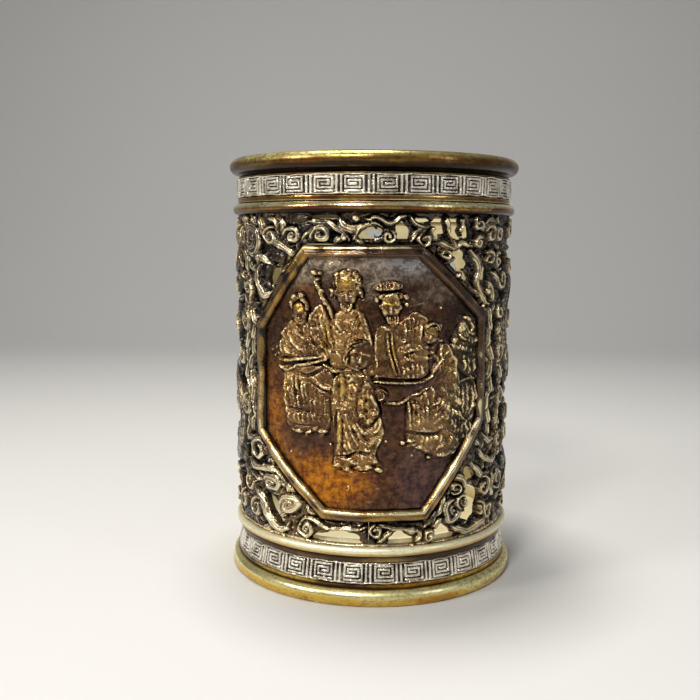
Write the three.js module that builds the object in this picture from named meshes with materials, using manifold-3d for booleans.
// Bronze brush pot: a cylinder of openwork between turned rings, with an octagonal
// plaque at the front and another behind.
// Millimetres, +Z up. The origin is the middle of the foot's underside, and the front
// plaque faces -Y.
//
// The wall's ornament is drawn flat, with u along the wall to the right, z up and r
// outwards, and is then bent round the Z axis in FLATS flats to the turn.

import * as THREE from 'three';
import { mergeVertices } from 'three/addons/utils/BufferGeometryUtils.js';
import Module from 'manifold-3d';

const wasm = await Module();
wasm.setup();

// Heights of the stack, from the foot up
const FOOT_ROLL_HEIGHT = 4.2;
const FOOT_LEDGE_HEIGHT = 1.6;
const LOWER_COLLAR_HEIGHT = 5.6;
const LOWER_STRIP_HEIGHT = 1.8;
const LOWER_BEAD_HEIGHT = 2.8;
const OPENWORK_HEIGHT = 88.1;
const UPPER_BEAD_HEIGHT = 3.2;
const UPPER_FILLET_HEIGHT = 1.6;
const UPPER_COLLAR_HEIGHT = 5.4;
const NECK_HEIGHT = 1.5;
const RIM_ROLL_HEIGHT = 4.2;

// Radii and walls
const BODY_RADIUS = 40;
const WALL = 2.4;
const RIM_OVERHANG = 2.4;
const UPPER_BEAD_OVERHANG = 1.4;
const LOWER_BEAD_OVERHANG = 1.0;
const FOOT_OVERHANG = 2.2;
const COLLAR_FLARE = 1.1;
const FILLET_DEPTH = 0.5;

// How far the turned faces stand out from the body's radius, or back from it
const NECK_BACK = 0.1;
const SHOULDER_BACK = 0.2;
const STRIP_BACK = 0.4;
const ROLL_OUT = 0.2;
const FOOT_LEDGE_OUT = 0.5;
const LOWER_COLLAR_OUT = 0.4;
const UPPER_COLLAR_OUT = 0.25;

// Joints between the rings
const CLEARANCE = 0.3;
const TONGUE_WALL = 1.0;
const TONGUE_LENGTH = 2.0;
const OPENWORK_TONGUE_LENGTH = 1.2;
const FLOOR_LEDGE_WIDTH = 1.8;
const FLOOR_LEDGE_THICKNESS = 1.5;
const FLOOR_THICKNESS = 1.8;
const FLOOR_LIFT = 1.0;
const FOOT_WALL_IN = 0.3;

// Places on the turned profiles: across in millimetres, up as a share of the form's height
const NECK_HOLLOW = 0.4;
const NECK_INSIDE = 0.5;
const RIM_INSIDE = [[0.6, 0.88], [-0.2, 0.55]];
const FILLET_HOLLOW = 0.35;
const FILLET_EDGE = 0.6;
const FOOT_EDGE = [[-0.5, 0], [-0.1, 0.17], [0, 0.48], [-0.3, 0.8]];
const FOOT_HOLLOW = 0.3;
const ROLL_STEPS = 5;
const BEAD_STEPS = 4;

// Key-fret bands
const FRET_RELIEF = 0.55;
const FRET_LINE = 0.72;
const FRET_WIDTH = 5.2;
const FRET_BORDER = 0.5;
const FRET_ROOT = 0.3;
const FRET_PITCH = 1.7;
const FRET_BAR = 0.8;

// Openwork and panels
const OPENWORK_GROUND = 0.25;
const SCROLL_RELIEF = 1.2;
const STEM_DROP = 0.2;
const BRAID_WIDTH = 3.2;
const VOLUTE_STEPS = 6;
const VOLUTE_WIND = 0.78;
const VOLUTE_STRIP = 0.3;
const BODY_STEPS = 14;
const RAIL = 1.4;
const SEAM = 0.3;
const FRAME_WIDTH = 3.4;
const FRAME_RISE = 1.1;
const FRAME_SHOULDER = 0.2;
const FRAME_REBATE = 1.2;
const FRAME_LIP = 1.7;
const FRAME_LIP_EDGE = 0.4;
const FRAME_CREST = [[0.64, 0], [0.24, 0.1]];
const PANEL_WIDTH = 72.2;
const PANEL_HEIGHT = 73.2;
const PLAQUE_THICKNESS = 1.3;
const FIGURE_RELIEF = 1.4;
const HEAD_DEPTH = 3.4;

// Facets of one turn of a turned ring and of the bent ornament, and the size of the flat
// drawing of the ornament
const FACETS = 48;
const FLATS = 30;
const DRAWN_HALF_TURN = 125.66;
const DRAWN_OPENWORK_BOTTOM = 16;
const DRAWN_OPENWORK_HEIGHT = 88.1;
const DRAWN_PANEL_WIDTH = 72.2;
const DRAWN_PANEL_HEIGHT = 73.2;

// Sides of an opening, sides of an oval on the plaque and facets of a head
const OPENING_SIDES = 6;
const OVAL_SIDES = 8;
const HEAD_FACETS = [8, 6];

// Distances below which points are taken as one
const SNAP = 1e-3;
const MERGE = 1e-4;
const FLATNESS = 2e-3;

const HALF_TURN = Math.PI * BODY_RADIUS;
const FLAT_LENGTH = 2 * HALF_TURN / FLATS;
const INNER_RADIUS = BODY_RADIUS - WALL;
const TONGUE_OUTER = INNER_RADIUS * Math.cos(Math.PI / FLATS) - CLEARANCE;
const TONGUE_INNER = TONGUE_OUTER - TONGUE_WALL;

const Z_FOOT_ROLL = FOOT_ROLL_HEIGHT;
const Z_LOWER_COLLAR = Z_FOOT_ROLL + FOOT_LEDGE_HEIGHT;
const Z_LOWER_STRIP = Z_LOWER_COLLAR + LOWER_COLLAR_HEIGHT;
const Z_LOWER_BEAD = Z_LOWER_STRIP + LOWER_STRIP_HEIGHT;
const Z_OPENWORK = Z_LOWER_BEAD + LOWER_BEAD_HEIGHT;
const Z_UPPER_BEAD = Z_OPENWORK + OPENWORK_HEIGHT;
const Z_UPPER_FILLET = Z_UPPER_BEAD + UPPER_BEAD_HEIGHT;
const Z_UPPER_COLLAR = Z_UPPER_FILLET + UPPER_FILLET_HEIGHT;
const Z_NECK = Z_UPPER_COLLAR + UPPER_COLLAR_HEIGHT;
const Z_RIM_ROLL = Z_NECK + NECK_HEIGHT;
const Z_TOP = Z_RIM_ROLL + RIM_ROLL_HEIGHT;
const Z_FLOOR = Z_LOWER_STRIP + FLOOR_LIFT;
const LOWER_COLLAR_RADIUS = BODY_RADIUS + LOWER_COLLAR_OUT;
const UPPER_COLLAR_RADIUS = BODY_RADIUS + UPPER_COLLAR_OUT;

// Flat drawing of the openwork, in millimetres of the drawing. The front plaque is
// centred on u = 0, and the same drawing serves the back half of the wall.
// Octagon, the outer edge of the frame, cut by hand and so not quite regular
const PANEL_CENTRE = [0, 59.4];
const PANEL_CORNERS = [
  [-12.8, 22.8], [16, 22.8], [36, 48], [35.8, 77.5],
  [13.8, 96], [-18.5, 96], [-36, 74.3], [-36.2, 43.8],
];

// Openings through the wall: u, z, width, height, tilt in degrees
const OPENINGS = [
  [-12.8, 102.9, 8, 1.7, 0], [-0.6, 99.2, 5.2, 4.2, 0], [7.6, 99.6, 3.2, 4.4, 0],
  [13.2, 102.4, 5, 1.8, 0], [23.6, 100.2, 6.4, 6, -15], [26, 91.2, 6, 3.6, -40],
  [30.2, 86, 2.6, 6.4, 38], [35.4, 89, 4.4, 5.6, 0], [-28.2, 87.6, 5, 5.2, 0],
  [-32.4, 98.6, 1.8, 8, 0], [-37.6, 83.4, 3.2, 5.4, 20], [-8.4, 17.8, 13, 3.2, 0],
  [8.6, 18, 6.8, 3.2, 0], [20.6, 18.6, 7, 4.4, -18], [31.4, 24, 5.8, 8.4, 0],
  [31.6, 32.6, 4.6, 3.6, -30], [42.6, 21.2, 3.6, 7.4, 0], [-28.8, 24.4, 9, 3.4, -50],
  [-33.6, 36.4, 4.6, 2.8, 25], [-41.4, 40, 2, 9, 0], [40.6, 46, 3, 6.4, 0],
  [41, 71.6, 3, 7, 0], [-40.8, 56, 2.6, 8, 0], [-41, 69.6, 3, 7.4, 0],
  [49.6, 35.4, 6, 5, 20], [48.4, 47.6, 6, 5.4, -20], [57.4, 40.6, 6.6, 5, 25],
  [67.4, 44.4, 6.6, 6, 0], [57.6, 52.4, 7.4, 5, -15], [48.6, 57.8, 5.6, 4.4, 20],
  [66.2, 25.6, 7.4, 4.6, 20], [76.2, 28.6, 5.4, 7, 30], [55.4, 20.8, 6.4, 3.4, 0],
  [73.8, 20, 6.4, 3.4, 0], [82.4, 37.6, 3.2, 6, 0], [76.6, 57.6, 5.6, 6.4, -40],
  [66.6, 65.4, 7, 5.4, -15], [75.6, 69.8, 6, 6.4, 0], [56.4, 70.8, 5.4, 7, 15],
  [66, 77.4, 7, 6.4, 20], [76.6, 80.6, 6.4, 6, 0], [47.6, 91.4, 6, 5, 0],
  [57.8, 95.4, 7, 4.6, 15], [67.4, 99.4, 6.4, 4.6, 0], [80.4, 90.2, 6, 4.6, 25],
];

// Openings that no strand crosses
const CLEAR_OPENINGS = [
  [-8.4, 17.6, 13, 3, 0], [8.8, 17.6, 7, 3, 0], [20.8, 18.2, 5.2, 4.4, -14], [31.8, 25.2, 4.6, 8, 0],
  [24.4, 100.6, 5, 5.6, -10], [26, 91.6, 6, 3.4, -40], [-28.8, 87.2, 4.2, 4.8, 0], [35.6, 89.2, 4, 4.4, 0],
];

// Volutes: u, z of the centre, outer radius, angle of the outer end in degrees, turns
const VOLUTES = [
  [-12.8, 98.6, 3, 200, -1.2], [-38.4, 97.4, 4.4, 300, 1.2], [17, 98.8, 2.6, 20, 1.1],
  [31.6, 98.6, 3, 120, -1.2], [41.8, 91.6, 2.6, 60, 1.2], [-35.4, 38.6, 3.2, 40, 1.2],
  [-29.4, 30.4, 3, 170, -1.2], [24.6, 24.8, 3.2, 80, 1.2], [36.8, 29.4, 2.8, 100, -1.2],
  [44.6, 29.6, 3.2, 230, 1.2], [61.6, 46.6, 3.4, 60, -1.2], [83.6, 50.6, 3.4, 90, 1.2],
  [60.8, 74.8, 3.2, 200, 1.2], [83, 74.6, 3.2, 80, -1.2], [53.2, 90.4, 2.8, 20, -1.2],
  [75.6, 98.6, 3.2, 60, 1.2], [-21.8, 98.2, 2.8, 170, -1.1], [37.2, 99, 2.8, 160, -1.2],
  [-22.9, 25, 3.2, 160, -1.2], [-36.6, 22, 3.2, 60, 1.2], [51.4, 42, 2.8, 10, 1.2],
  [61, 58.6, 3, 330, 1.2], [80, 64.6, 2.8, 150, 1.2], [70.6, 72.4, 2.8, 100, -1.2],
  [61.4, 24.6, 2.8, 60, 1.2], [80.6, 22.4, 3, 90, 1.2],
];

// Stems and limbs: width, then the points u, z that each runs through
const STEMS = [
  [2.1, [-17.4, 102], [-13.6, 101.7], [-9.6, 101], [-6.6, 99], [-5.6, 97]],
  [1.9, [-8.6, 103.2], [-7, 101], [-4.4, 99.9], [-1.8, 100.8], [-0.6, 102.8]],
  [1.7, [10.6, 97], [11.8, 99], [14.4, 100.2]],
  [1.7, [15, 96.2], [19, 96.6], [22.8, 95.4], [30.4, 95.4]],
  [2, [29, 103], [33, 100.6], [37.4, 102.6], [41, 99.6], [44.6, 99.2]],
  [2.2, [28.6, 94.6], [31.6, 91], [31.4, 85.4], [34.6, 81.4], [37.6, 80]],
  [1.8, [36, 86.4], [38.4, 84], [39.4, 80.6]],
  [1.6, [34.4, 94.2], [38, 93.6], [43.6, 88.4]],
  [2.3, [-42.4, 95.6], [-38, 93.4], [-32.6, 92.2], [-28.6, 90]],
  [2.2, [-34.2, 90.4], [-35.8, 87.4], [-34.6, 84.2], [-31.6, 82.2]],
  [2.2, [-41.4, 88], [-39.6, 84.8], [-40.2, 79.4]],
  [1.9, [-41, 35.6], [-36.4, 33.6], [-31.2, 34.4], [-24.2, 31.6]],
  [3, [-37.6, 27.4], [-34, 25], [-31, 20.8], [-27.6, 18.6], [-23.4, 18.4]],
  [1.5, [-21, 20.8], [-16.4, 22.4], [-11, 20.6], [0, 21.4]],
  [1.5, [0, 21.6], [6, 21.2], [15, 19.8], [17.6, 20.6]],
  [2.4, [17.4, 16.8], [20.2, 21.8], [26.4, 18.6], [31, 18], [41, 18.6]],
  [1.8, [21.4, 30], [23.6, 33.4], [27, 33], [28.6, 30]],
  [2, [31, 37], [34, 33.6], [36.4, 32], [40, 33]],
  [2, [33.4, 40.4], [36.6, 37], [40.6, 36], [43.6, 37.6]],
];

// Braided strands that run up beside the panels
const BRAIDS = [
  [[38.4, 42], [37.6, 52], [38.8, 62], [37.4, 72], [38.4, 80]],
  [[-38.6, 43], [-37.8, 53], [-39, 63], [-37.6, 72], [-38.8, 79]],
  [[44, 36], [43.4, 48], [45, 58], [43.6, 68], [45, 78]],
  [[84, 40], [85.2, 52], [83.8, 62], [85, 72], [84.2, 80]],
];

// Long body that winds up each side: width, then the points u, z
const SIDE_BODY = [
  5.2, [44.6, 25], [54, 29.6], [70, 34.6], [78.6, 45.6], [71, 56],
  [55, 63], [47.6, 74.6], [56, 84.4], [70.4, 90.4], [80, 99.4],
];

// Robes, sleeves, scroll and sash on the plaque: the height as a share of the figures'
// relief, then the outline points u, z
const ROBES = [
  [0.62, [-25.4, 64], [-24.8, 54], [-23.2, 46.6], [-11, 46.8], [-10, 58], [-11, 64]],
  [0.8, [-26, 66], [-25.8, 71], [-23, 76], [-19, 77], [-15.6, 74], [-11, 68], [-13.4, 65]],
  [0.7, [-17.6, 73], [-17, 76.6], [-14.4, 80.4], [-12.4, 80.2], [-9, 68], [-12, 66.4]],
  [0.7, [-10.4, 62.6], [-11.4, 74], [-8.6, 79], [-3, 79.4], [0.2, 74], [1.2, 62]],
  [0.62, [1, 61.6], [1, 73], [3, 75.6], [8, 76.6], [12, 79], [15.8, 76], [15, 61.4]],
  [0.7, [9.8, 43.6], [10, 56], [17, 62], [19, 69], [22, 70], [26, 62], [26.4, 48], [24, 40]],
  [0.5, [22.4, 68], [27, 77], [31.6, 76], [33, 68], [32.6, 60], [27, 62]],
  [0.5, [25.6, 52], [26, 44.6], [29, 43.6], [31.4, 47.4], [31, 52]],
  [0.42, [0.2, 60.2], [0.8, 56.4], [9, 55.2], [18.6, 61.2], [22.2, 67], [15, 61]],
  [0.8, [-9.8, 37.2], [-10.6, 56], [-8.4, 63], [-2, 64.4], [1, 60], [4, 47.6], [2, 37.6]],
  [1.1, [-1.7, 61.4], [-3.5, 53.6], [-0.8, 48.4], [2.7, 52.6]],
];

// Heads: u, z, width, height
const HEADS = [
  [-19.7, 79.2, 5, 7.6], [-6.3, 85.2, 6.4, 9.6], [-3, 67.6, 6.4, 7.6],
  [5.4, 82, 6.4, 9.4], [16.8, 73.2, 5, 5.6],
];

// Fine parts of the relief: width, height as a share of the figures' relief, then the
// points u, z
const RELIEF_LINES = [
  [1.4, 0.8, [-15, 88.6], [-12.2, 81.6], [-9.8, 76]],
  [1.2, 1.2, [-26.6, 65.2], [-19.4, 66], [-13, 66.8]],
  [1, 0.75, [0.4, 60], [9, 60.2], [14.6, 60.6], [22, 68.4]],
  [1, 0.7, [3.8, 55], [10.4, 56.2], [16, 58.9]],
  [1.6, 1.2, [-7.6, 62.4], [-8, 52], [-8, 41]],
];

// Rolled end of the scroll and oval fan: height as a share, then u, z, width, height
const OVALS = [[0.5, 2.8, 57, 4, 4], [0.5, 28.7, 54.8, 7.6, 11.6]];

function vec(point) {
  return new THREE.Vector2(point[0], point[1]);
}

// From the drawing to the wall, which keeps the ornament fitted to the wall's size
function place(point) {
  const u = point[0] * HALF_TURN / DRAWN_HALF_TURN;
  const share = (point[1] - DRAWN_OPENWORK_BOTTOM) / DRAWN_OPENWORK_HEIGHT;
  return new THREE.Vector2(u, Z_OPENWORK + share * OPENWORK_HEIGHT);
}

// From the drawing to the panel, which keeps the frame and figures fitted to its size
const PANEL_STRETCH = new THREE.Vector2(
  PANEL_WIDTH / DRAWN_PANEL_WIDTH,
  PANEL_HEIGHT / DRAWN_PANEL_HEIGHT,
);

function placeOnPanel(point) {
  return vec(point).sub(vec(PANEL_CENTRE)).multiply(PANEL_STRETCH).add(place(PANEL_CENTRE));
}

function solid(geometry) {
  const bare = geometry.clone();
  bare.deleteAttribute('normal');
  bare.deleteAttribute('uv');
  const merged = mergeVertices(bare, 1e-5);
  return new wasm.Manifold(new wasm.Mesh({
    numProp: 3,
    vertProperties: new Float32Array(merged.attributes.position.array),
    triVerts: new Uint32Array(merged.index.array),
  }));
}

function geometryOf(body) {
  const mesh = body.getMesh();
  const geometry = new THREE.BufferGeometry();
  geometry.setAttribute('position', new THREE.BufferAttribute(mesh.vertProperties, 3));
  geometry.setIndex(new THREE.BufferAttribute(mesh.triVerts, 1));
  geometry.computeVertexNormals();
  return geometry;
}

function unite(bodies) {
  return bodies.reduce((whole, body) => whole.add(body));
}

// A ring or disc turned from a profile of [radius, z] points, outer side going up
function turned(profile, facets = FACETS) {
  const closed = [...profile, profile[0]].map(vec);
  return new THREE.LatheGeometry(closed, facets).rotateX(Math.PI / 2);
}

// Points on a bulge from [r, z0] up to [r, z1] that stands out by rise
function bulge(radius, z0, z1, rise, steps) {
  const points = [];
  for (let i = 0; i <= steps; i += 1) {
    const angle = Math.PI * i / steps;
    const z = (z0 + z1) / 2 - Math.cos(angle) * (z1 - z0) / 2;
    points.push([radius + rise * Math.sin(angle), z]);
  }
  return points;
}

// A flat slab of the given outline, from r0 out to r1
function slab(outline, r0, r1) {
  const shape = new THREE.Shape(outline);
  const settings = { depth: r1 - r0, bevelEnabled: false };
  return new THREE.ExtrudeGeometry(shape, settings).translate(0, 0, r0);
}

// The outline of a strip of the given width along a line of points
function ribbon(points, width) {
  const left = [];
  const right = [];
  points.forEach((point, i) => {
    const before = points[Math.max(i - 1, 0)];
    const after = points[Math.min(i + 1, points.length - 1)];
    const first = i > 0 ? point.clone().sub(before).normalize() : after.clone().sub(point).normalize();
    const second = i < points.length - 1 ? after.clone().sub(point).normalize() : first;
    const along = first.clone().add(second).normalize();
    const reach = width / 2 / Math.max(along.dot(first), 0.5);
    const across = new THREE.Vector2(-along.y, along.x).multiplyScalar(reach);
    left.push(point.clone().add(across));
    right.unshift(point.clone().sub(across));
  });
  return [...right, ...left];
}

function oval(centre, width, height, tilt, sides) {
  const points = [];
  for (let i = 0; i < sides; i += 1) {
    const angle = 2 * Math.PI * (i + 0.5) / sides;
    const point = new THREE.Vector2(width / 2 * Math.cos(angle), height / 2 * Math.sin(angle));
    points.push(point.rotateAround(new THREE.Vector2(), tilt * Math.PI / 180).add(centre));
  }
  return points;
}

// The outline of a spiral strip that winds in towards its centre
function volute([u, z, radius, start, turns]) {
  const points = [];
  for (let i = 0; i <= VOLUTE_STEPS; i += 1) {
    const share = i / VOLUTE_STEPS;
    const angle = start * Math.PI / 180 + turns * 2 * Math.PI * share;
    const reach = radius * (1 - VOLUTE_WIND * share);
    points.push(place([u + reach * Math.cos(angle), z + reach * Math.sin(angle)]));
  }
  return ribbon(points, radius * VOLUTE_STRIP);
}

// The polygon moved in by a distance, for the frame's own edges and its seat
function inset(corners, distance) {
  const count = corners.length;
  return corners.map((corner, i) => {
    const before = corners[(i + count - 1) % count];
    const after = corners[(i + 1) % count];
    const first = corner.clone().sub(before).normalize();
    const second = after.clone().sub(corner).normalize();
    const along = first.clone().add(second).normalize();
    const inward = new THREE.Vector2(-along.y, along.x);
    return corner.clone().addScaledVector(inward, distance / along.dot(first));
  });
}

// A strip of the flat drawing between two upright lines, clipped from one polygon
function clip(polygon, limit, side) {
  const kept = [];
  polygon.forEach((point, i) => {
    const next = polygon[(i + 1) % polygon.length];
    const here = side * (point.x - limit);
    const there = side * (next.x - limit);
    if (here >= 0) {
      kept.push(point);
    }
    if ((here > 0 && there < 0) || (here < 0 && there > 0)) {
      const [from, to] = point.x < next.x ? [point, next] : [next, point];
      const crossing = from.clone().lerp(to, (limit - from.x) / (to.x - from.x));
      crossing.x = limit;
      kept.push(crossing);
    }
  });
  return kept;
}

// A point of the flat drawing on the k-th flat, which stays plane between its borders
function onFlat(k, point) {
  const share = point.x / FLAT_LENGTH - k;
  const start = k * 2 * Math.PI / FLATS;
  const end = (k + 1) * 2 * Math.PI / FLATS;
  const across = (1 - share) * Math.sin(start) + share * Math.sin(end);
  const ahead = (1 - share) * Math.cos(start) + share * Math.cos(end);
  return [point.z * across, -point.z * ahead, point.y];
}

// Bends a flat body round the Z axis, with an edge at each flat's border
function bent(body) {
  const flat = geometryOf(body);
  const drawn = flat.attributes.position;
  const positions = [];
  const snap = (value) => {
    const line = Math.round(value / FLAT_LENGTH) * FLAT_LENGTH;
    return Math.abs(value - line) < SNAP ? line : value;
  };
  for (let i = 0; i < flat.index.count; i += 3) {
    const corners = [0, 1, 2].map((k) => {
      const point = new THREE.Vector3().fromBufferAttribute(drawn, flat.index.getX(i + k));
      point.x = snap(point.x);
      return point;
    });
    const lowest = Math.min(...corners.map((point) => point.x));
    const highest = Math.max(...corners.map((point) => point.x));
    const first = Math.floor((lowest + SNAP / 2) / FLAT_LENGTH);
    const last = Math.max(Math.ceil((highest - SNAP / 2) / FLAT_LENGTH), first + 1);
    for (let k = first; k < last; k += 1) {
      const left = clip(corners, k * FLAT_LENGTH, 1);
      const part = clip(left, (k + 1) * FLAT_LENGTH, -1);
      for (let j = 1; j + 1 < part.length; j += 1) {
        [part[0], part[j], part[j + 1]].forEach((point) => {
          positions.push(...onFlat(k, point));
        });
      }
    }
  }
  const geometry = new THREE.BufferGeometry();
  geometry.setAttribute('position', new THREE.Float32BufferAttribute(positions, 3));
  return solid(withoutSlivers(mergeVertices(geometry, MERGE))).simplify(SNAP);
}

function withoutSlivers(geometry) {
  const source = geometry.index.array;
  const kept = [];
  for (let i = 0; i < source.length; i += 3) {
    const [a, b, c] = [source[i], source[i + 1], source[i + 2]];
    if (a !== b && b !== c && c !== a) {
      kept.push(a, b, c);
    }
  }
  geometry.setIndex(kept);
  return geometry;
}

// A ring swept round a polygon with mitred corners, from a section of [inset, r] points
function mitredRing(corners, section) {
  const rings = section.map(([distance]) => inset(corners, distance));
  const positions = [];
  const index = [];
  corners.forEach((corner, i) => {
    section.forEach(([, r], j) => positions.push(rings[j][i].x, rings[j][i].y, r));
  });
  const across = section.length;
  corners.forEach((corner, i) => {
    const here = i * across;
    const there = (i + 1) % corners.length * across;
    for (let j = 0; j < across; j += 1) {
      const next = (j + 1) % across;
      index.push(here + j, here + next, there + next);
      index.push(here + j, there + next, there + j);
    }
  });
  const geometry = new THREE.BufferGeometry();
  geometry.setAttribute('position', new THREE.Float32BufferAttribute(positions, 3));
  geometry.setIndex(index);
  return geometry;
}

// Turned rings
function rimProfile() {
  const neck = BODY_RADIUS - NECK_BACK;
  return [
    [TONGUE_INNER, Z_NECK - TONGUE_LENGTH],
    [TONGUE_OUTER, Z_NECK - TONGUE_LENGTH],
    [TONGUE_OUTER, Z_NECK],
    [neck, Z_NECK],
    [neck - FILLET_DEPTH, Z_NECK + NECK_HEIGHT * NECK_HOLLOW],
    ...bulge(neck + ROLL_OUT, Z_RIM_ROLL, Z_TOP, RIM_OVERHANG - NECK_BACK, ROLL_STEPS),
    ...RIM_INSIDE.map(([out, share]) => [INNER_RADIUS + out, Z_RIM_ROLL + RIM_ROLL_HEIGHT * share]),
    [TONGUE_INNER, Z_NECK + NECK_HEIGHT * NECK_INSIDE],
  ];
}

function upperBeadProfile() {
  const shoulder = BODY_RADIUS - SHOULDER_BACK;
  const fillet = shoulder + ROLL_OUT;
  return [
    [TONGUE_INNER, Z_UPPER_BEAD - OPENWORK_TONGUE_LENGTH],
    [TONGUE_OUTER, Z_UPPER_BEAD - OPENWORK_TONGUE_LENGTH],
    [TONGUE_OUTER, Z_UPPER_BEAD],
    ...bulge(shoulder, Z_UPPER_BEAD, Z_UPPER_FILLET, UPPER_BEAD_OVERHANG + SHOULDER_BACK, BEAD_STEPS),
    [shoulder - FILLET_DEPTH, Z_UPPER_FILLET + UPPER_FILLET_HEIGHT * FILLET_HOLLOW],
    [fillet, Z_UPPER_FILLET + UPPER_FILLET_HEIGHT * FILLET_EDGE],
    [fillet, Z_UPPER_COLLAR],
    [TONGUE_OUTER, Z_UPPER_COLLAR],
    [TONGUE_OUTER, Z_UPPER_COLLAR + TONGUE_LENGTH],
    [TONGUE_INNER, Z_UPPER_COLLAR + TONGUE_LENGTH],
  ];
}

function lowerBeadProfile() {
  const strip = BODY_RADIUS - STRIP_BACK;
  return [
    [TONGUE_INNER, Z_LOWER_STRIP - TONGUE_LENGTH],
    [TONGUE_OUTER, Z_LOWER_STRIP - TONGUE_LENGTH],
    [TONGUE_OUTER, Z_LOWER_STRIP],
    [strip, Z_LOWER_STRIP],
    ...bulge(strip + ROLL_OUT, Z_LOWER_BEAD, Z_OPENWORK, LOWER_BEAD_OVERHANG + ROLL_OUT, BEAD_STEPS),
    [TONGUE_OUTER, Z_OPENWORK],
    [TONGUE_OUTER, Z_OPENWORK + OPENWORK_TONGUE_LENGTH],
    [TONGUE_INNER, Z_OPENWORK + OPENWORK_TONGUE_LENGTH],
    [TONGUE_INNER, Z_FLOOR],
    [TONGUE_INNER - FLOOR_LEDGE_WIDTH, Z_FLOOR],
    [TONGUE_INNER - FLOOR_LEDGE_WIDTH, Z_FLOOR - FLOOR_LEDGE_THICKNESS],
    [TONGUE_INNER, Z_FLOOR - FLOOR_LEDGE_THICKNESS],
  ];
}

function footProfile() {
  const edge = BODY_RADIUS + FOOT_OVERHANG;
  const ledge = BODY_RADIUS + FOOT_LEDGE_OUT;
  const inner = TONGUE_INNER - FOOT_WALL_IN;
  return [
    [inner, 0],
    ...FOOT_EDGE.map(([out, share]) => [edge + out, FOOT_ROLL_HEIGHT * share]),
    [ledge + ROLL_OUT, Z_FOOT_ROLL],
    [ledge, Z_FOOT_ROLL + FOOT_LEDGE_HEIGHT * FOOT_HOLLOW],
    [ledge, Z_LOWER_COLLAR],
    [TONGUE_OUTER, Z_LOWER_COLLAR],
    [TONGUE_OUTER, Z_LOWER_COLLAR + TONGUE_LENGTH],
    [inner, Z_LOWER_COLLAR + TONGUE_LENGTH],
  ];
}

function floorProfile() {
  const radius = TONGUE_INNER - CLEARANCE;
  const top = Z_FLOOR + FLOOR_THICKNESS;
  return [[0, Z_FLOOR], [radius, Z_FLOOR], [radius, top], [0, top]];
}

// Key-fret: on each flat of the band one raised square spiral, between upright bars
function fretTile(centre, middle, height, hand) {
  const tall = (height - 2 * FRET_BORDER) / 2 - FRET_LINE;
  const wide = (FRET_WIDTH - FRET_LINE) / 2;
  const step = FRET_LINE * FRET_PITCH;
  const corner = (x, y) => new THREE.Vector2(centre + hand * x, middle + y);
  return ribbon([
    corner(wide, -tall), corner(-wide, -tall), corner(-wide, tall), corner(wide, tall),
    corner(wide, -tall + step), corner(-wide + step, -tall + step),
  ], FRET_LINE);
}

function fretBar(u, middle, height) {
  const reach = height / 2 - FRET_BORDER;
  const ends = [new THREE.Vector2(u, middle - reach), new THREE.Vector2(u, middle + reach)];
  return ribbon(ends, FRET_LINE * FRET_BAR);
}

function fretCollar(z0, height, bottomRadius, topRadius) {
  const lean = (topRadius - bottomRadius) / height;
  const low = bottomRadius + lean * FRET_BORDER;
  const high = topRadius - lean * FRET_BORDER;
  const band = solid(turned([
    [INNER_RADIUS, z0],
    [bottomRadius, z0],
    [low, z0 + FRET_BORDER],
    [low - FRET_RELIEF, z0 + FRET_BORDER],
    [high - FRET_RELIEF, z0 + height - FRET_BORDER],
    [high, z0 + height - FRET_BORDER],
    [topRadius, z0 + height],
    [INNER_RADIUS, z0 + height],
  ], FLATS));
  const middle = z0 + height / 2;
  const outlines = [];
  for (let i = 0; i < FLATS; i += 1) {
    const centre = (i + 0.5) * FLAT_LENGTH;
    outlines.push(fretTile(centre, middle, height, i % 2 === 0 ? 1 : -1));
    outlines.push(fretBar(centre + FLAT_LENGTH / 2 - FRET_LINE * FRET_BAR, middle, height));
  }
  const base = Math.min(bottomRadius, topRadius) - FRET_RELIEF - FRET_ROOT;
  const crest = Math.max(bottomRadius, topRadius) + FRET_ROOT;
  const tiles = bent(unite(outlines.map((outline) => solid(slab(outline, base, crest)))));
  // The band leans, so the tiles are trimmed to its outer cone
  const cone = solid(turned([
    [INNER_RADIUS, z0], [bottomRadius, z0], [topRadius, z0 + height], [INNER_RADIUS, z0 + height],
  ], FLATS));
  return geometryOf(band.add(tiles.intersect(cone)).simplify(FLATNESS));
}

// Openwork: one half of the wall, from the middle of the front to the middle of the back
function panelCorners(shift) {
  return shifted(PANEL_CORNERS.map(placeOnPanel), shift);
}

function shifted(outline, shift) {
  return outline.map((point) => new THREE.Vector2(point.x + shift, point.y));
}

function rectangle(u0, z0, u1, z1) {
  return [[u0, z0], [u1, z0], [u1, z1], [u0, z1]].map(vec);
}

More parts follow.
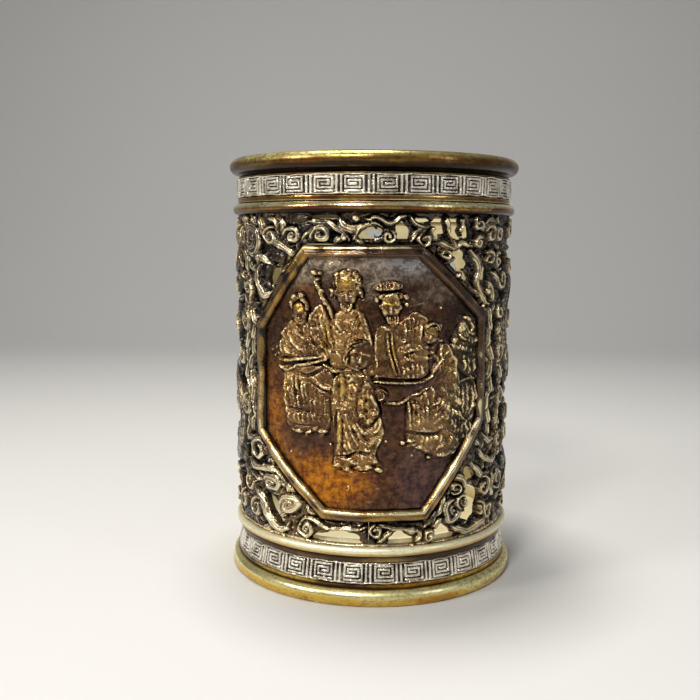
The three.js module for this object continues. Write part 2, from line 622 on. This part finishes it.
function openworkHalf() {
  const ground = BODY_RADIUS - OPENWORK_GROUND;
  const crest = ground + SCROLL_RELIEF;
  const base = INNER_RADIUS + WALL / 4;
  const both = [0, HALF_TURN];
  const wall = (outline, top) => solid(slab(outline, INNER_RADIUS, top));
  const through = (outline) => solid(slab(outline, INNER_RADIUS - 1, crest + 1));
  const raised = (outline, top) => both.map((shift) => solid(slab(shifted(outline, shift), base, top)));
  const cut = ([u, z, width, height, tilt]) => {
    const outline = oval(place([u, z]), width, height, tilt, OPENING_SIDES);
    return both.map((shift) => through(shifted(outline, shift)));
  };
  const sheet = wall(rectangle(-CLEARANCE, Z_OPENWORK, HALF_TURN + CLEARANCE, Z_UPPER_BEAD), ground);
  const pierced = sheet.subtract(unite(OPENINGS.flatMap(cut)));
  const volutes = VOLUTES.flatMap((entry) => raised(volute(entry), crest));
  const stems = STEMS.flatMap(([width, ...points]) => {
    return raised(ribbon(points.map(place), width), crest - STEM_DROP);
  });
  const braids = BRAIDS.flatMap((points) => {
    return raised(ribbon(points.map(place), BRAID_WIDTH), crest - STEM_DROP);
  });
  const [bodyWidth, ...bodyPoints] = SIDE_BODY;
  const spine = new THREE.SplineCurve(bodyPoints.map(place)).getPoints(BODY_STEPS);
  const body = solid(slab(ribbon(spine, bodyWidth), base, crest));
  const rails = [
    rectangle(-CLEARANCE, Z_OPENWORK, HALF_TURN + CLEARANCE, Z_OPENWORK + RAIL / 2),
    rectangle(-CLEARANCE, Z_UPPER_BEAD - RAIL / 2, HALF_TURN + CLEARANCE, Z_UPPER_BEAD),
  ].map((outline) => wall(outline, ground));
  const seats = both.map((shift) => {
    return solid(mitredRing(panelCorners(shift), [
      [-RAIL, INNER_RADIUS],
      [CLEARANCE, INNER_RADIUS],
      [CLEARANCE, ground],
      [-RAIL, ground],
    ]));
  });
  const limit = through(rectangle(SEAM / 2, Z_OPENWORK, HALF_TURN - SEAM / 2, Z_UPPER_BEAD));
  const panels = both.map((shift) => through(inset(panelCorners(shift), -CLEARANCE)));
  const drawn = unite([pierced, ...volutes, ...stems, ...braids, body]);
  const cleared = drawn.subtract(unite(CLEAR_OPENINGS.flatMap(cut)));
  const whole = unite([cleared, ...rails, ...seats]);
  return geometryOf(bent(whole.intersect(limit).subtract(unite(panels))));
}

function panelFrame() {
  const outer = BODY_RADIUS + FRAME_SHOULDER;
  const crest = BODY_RADIUS + FRAME_RISE;
  const lipBack = INNER_RADIUS + FRAME_LIP + CLEARANCE;
  return geometryOf(bent(solid(mitredRing(panelCorners(0), [
    [0, INNER_RADIUS],
    [FRAME_WIDTH - FRAME_REBATE, INNER_RADIUS],
    [FRAME_WIDTH - FRAME_REBATE, lipBack],
    [FRAME_WIDTH, lipBack],
    [FRAME_WIDTH, lipBack + FRAME_LIP_EDGE],
    ...FRAME_CREST.map(([share, drop]) => [FRAME_WIDTH * share, crest - drop]),
    [0, outer],
  ]))));
}

function plaque() {
  const seat = inset(panelCorners(0), FRAME_WIDTH - FRAME_REBATE + CLEARANCE);
  const face = INNER_RADIUS + FRAME_LIP;
  const back = face - PLAQUE_THICKNESS;
  const raised = (outline, share) => solid(slab(outline, face - CLEARANCE, face + FIGURE_RELIEF * share));
  const robes = ROBES.map(([share, ...outline]) => raised(outline.map(placeOnPanel), share));
  const heads = HEADS.map(([u, z, width, height]) => {
    const shape = new THREE.SphereGeometry(0.5, ...HEAD_FACETS).scale(width, height, HEAD_DEPTH);
    const centre = placeOnPanel([u, z]);
    return solid(shape.translate(centre.x, centre.y, face));
  });
  const lines = RELIEF_LINES.map(([width, share, ...points]) => {
    return raised(ribbon(points.map(placeOnPanel), width), share);
  });
  const ovals = OVALS.map(([share, u, z, width, height]) => {
    return raised(oval(placeOnPanel([u, z]), width, height, 0, OVAL_SIDES), share);
  });
  const sight = inset(panelCorners(0), FRAME_WIDTH + CLEARANCE);
  const trim = solid(slab(sight, back, face + FIGURE_RELIEF * 2));
  const plate = solid(slab(seat, back, face));
  const relief = unite([...robes, ...heads, ...lines, ...ovals]).intersect(trim);
  return geometryOf(bent(plate.add(relief)));
}

function metal(colour, roughness) {
  return new THREE.MeshStandardMaterial({ color: colour, roughness, metalness: 0.9, flatShading: true });
}

const WORN_BRASS = metal(0xa58a4e, 0.38);
const DARK_BRONZE = metal(0x3c3026, 0.42);
const FRET_METAL = metal(0x8c8068, 0.4);
const FRAME_METAL = metal(0x7d6438, 0.36);
const PLAQUE_METAL = metal(0x4a2c18, 0.34);
const PALE_BRASS = metal(0xb8a878, 0.5);

const pot = new THREE.Group();

function add(name, geometry, material, turn = 0) {
  const mesh = new THREE.Mesh(geometry, material);
  mesh.name = name;
  mesh.rotation.z = turn;
  pot.add(mesh);
}

function ring(name, profile, material) {
  add(name, geometryOf(solid(turned(profile))), material);
}

ring('foot_ring', footProfile(), WORN_BRASS);
add(
  'lower_fret_collar',
  fretCollar(Z_LOWER_COLLAR, LOWER_COLLAR_HEIGHT, LOWER_COLLAR_RADIUS, LOWER_COLLAR_RADIUS - COLLAR_FLARE),
  FRET_METAL,
);
ring('lower_bead', lowerBeadProfile(), WORN_BRASS);
ring('floor_plate', floorProfile(), PALE_BRASS);
const half = openworkHalf();
add('openwork_right', half, DARK_BRONZE);
add('openwork_left', half, DARK_BRONZE, Math.PI);
const frame = panelFrame();
add('front_panel_frame', frame, FRAME_METAL);
add('back_panel_frame', frame, FRAME_METAL, Math.PI);
const plate = plaque();
add('front_plaque', plate, PLAQUE_METAL);
add('back_plaque', plate, PLAQUE_METAL, Math.PI);
ring('upper_bead', upperBeadProfile(), WORN_BRASS);
add(
  'upper_fret_collar',
  fretCollar(Z_UPPER_COLLAR, UPPER_COLLAR_HEIGHT, UPPER_COLLAR_RADIUS, UPPER_COLLAR_RADIUS),
  FRET_METAL,
);
ring('rim_ring', rimProfile(), WORN_BRASS);

export default pot;
